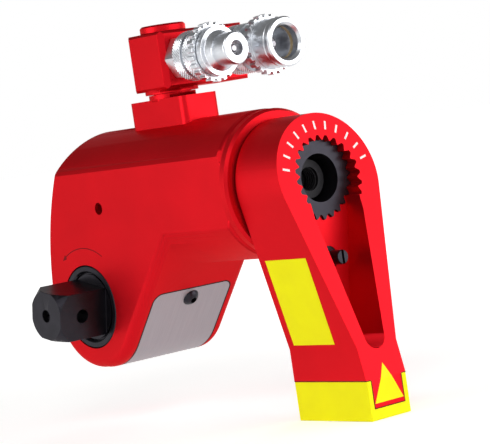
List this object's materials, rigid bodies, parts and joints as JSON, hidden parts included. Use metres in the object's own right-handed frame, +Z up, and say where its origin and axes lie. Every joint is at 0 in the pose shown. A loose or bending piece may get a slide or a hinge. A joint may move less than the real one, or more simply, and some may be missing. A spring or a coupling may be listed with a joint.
{
  "type": "hydraulic torque wrench",
  "caption": "Square drive hydraulic torque wrench: ratchet head, piston barrel, splined reaction arm with a guarded foot, and a swivel block with male and female hose couplers.",
  "frame": {"origin": "on the drive axis, in the housing face that the square stands out of", "axes": "-Y out of that face along the square, +X from the drive towards the reaction arm, +Z up to the swivel"},
  "size_m": [0.2206, 0.1072, 0.2074],
  "materials": {
    "red_paint": "gloss red coating on alloy",
    "black_oxide": "black oxide, satin",
    "plain_steel": "machined",
    "brushed_sheet": "brushed stainless sheet",
    "bright_zinc": "bright zinc plate",
    "bronze": "machined bronze",
    "seal_rubber": "moulded seal",
    "yellow_plastic": "safety yellow"
  },
  "bodies": {
    "housing": {"housing": "red_paint", "drive_bush_front": "black_oxide", "drive_bush_rear": "black_oxide", "shroud": "brushed_sheet", "shroud_screws": "black_oxide", "gland": "bronze", "rod_seal": "seal_rubber", "end_cap": "black_oxide", "end_cap_seal": "seal_rubber", "tube_plug": "black_oxide", "swivel_base": "red_paint", "swivel_post": "red_paint", "swivel_seals": "seal_rubber"},
    "piston": {"piston": "plain_steel", "piston_seal": "seal_rubber", "piston_rod": "plain_steel", "rod_pin": "plain_steel"},
    "crank": {"crank_plate_front": "plain_steel", "crank_plate_rear": "plain_steel", "pawl_keeper": "plain_steel", "keeper_dowels": "plain_steel", "pawl_springs": "plain_steel"},
    "pawl": {"drive_pawl": "plain_steel"},
    "drive": {"ratchet": "black_oxide", "square_drive": "black_oxide", "tip_plug": "black_oxide", "drive_retainer": "black_oxide", "button_spring": "plain_steel"},
    "button": {"retainer_button": "plain_steel"},
    "arm": {"reaction_arm": "red_paint", "foot_guard": "yellow_plastic"},
    "lock": {"lock_pin": "black_oxide"},
    "dog": {"lock_dog": "plain_steel"},
    "swivel": {"swivel_block": "red_paint", "male_adaptor": "bright_zinc", "female_adaptor": "bright_zinc", "male_coupler": "bright_zinc", "female_coupler": "bright_zinc", "female_seal": "bronze", "male_spring": "plain_steel", "female_spring": "plain_steel"},
    "lock_ring": {"male_ring": "bright_zinc"},
    "sleeve": {"female_sleeve": "bright_zinc"},
    "male_valve": {"male_poppet": "plain_steel"},
    "female_valve": {"female_poppet": "plain_steel"}
  },
  "joints": [
    {"name": "piston_slide", "type": "slide", "parent": "housing", "child": "piston", "axis": [-1, 0, 0], "range_m": [0, 0.028]},
    {"name": "crank_swing", "type": "hinge", "parent": "housing", "child": "crank", "pos_m": [0, 0.03325, 0], "axis": [0, -1, 0], "range_deg": [0, 28.7]},
    {"name": "pawl_lift", "type": "slide", "parent": "crank", "child": "pawl", "axis": [0.3594, 0, 0.9332], "range_m": [0, 0.0036], "stiffness_N_per_m": 1500, "springref_m": -0.002, "deforming": ["pawl_springs"]},
    {"name": "drive_spin", "type": "hinge", "parent": "crank", "child": "drive", "pos_m": [0, 0.03325, 0], "axis": [0, -1, 0], "continuous": true},
    {"name": "button_push", "type": "slide", "parent": "drive", "child": "button", "axis": [0, -1, 0], "range_m": [0, 0.003], "stiffness_N_per_m": 800, "springref_m": -0.002, "deforming": ["button_spring"]},
    {"name": "arm_slide", "type": "slide", "parent": "housing", "child": "arm", "axis": [1, 0, 0], "range_m": [0, 0.024]},
    {"name": "lock_push", "type": "slide", "parent": "arm", "child": "lock", "axis": [-1, 0, 0], "range_m": [0, 0.009]},
    {"name": "lock_dog_rise", "type": "slide", "parent": "arm", "child": "dog", "axis": [0, 0, 1], "range_m": [0, 0.00401]},
    {"name": "swivel_turn", "type": "hinge", "parent": "housing", "child": "swivel", "pos_m": [0.0556, 0.03325, 0.12388], "axis": [0, 0, 1], "continuous": true},
    {"name": "lock_ring_turn", "type": "hinge", "parent": "swivel", "child": "lock_ring", "pos_m": [0.09475, 0.03125, 0.12388], "axis": [1, 0, 0], "continuous": true},
    {"name": "sleeve_pull", "type": "slide", "parent": "swivel", "child": "sleeve", "axis": [-1, 0, 0], "range_m": [0, 0.003], "stiffness_N_per_m": 900, "springref_m": -0.003},
    {"name": "male_valve_push", "type": "slide", "parent": "swivel", "child": "male_valve", "axis": [-1, 0, 0], "range_m": [0, 0.003], "stiffness_N_per_m": 900, "springref_m": -0.003, "deforming": ["male_spring"]},
    {"name": "female_valve_push", "type": "slide", "parent": "swivel", "child": "female_valve", "axis": [-1, 0, 0], "range_m": [0, 0.003], "stiffness_N_per_m": 900, "springref_m": -0.003, "deforming": ["female_spring"]}
  ],
  "couplings": [
    {"joint": "crank_swing", "follows": "piston_slide", "rad_per_m": 17.865},
    {"joint": "lock_dog_rise", "follows": "lock_push", "ratio": 0.4444}
  ]
}
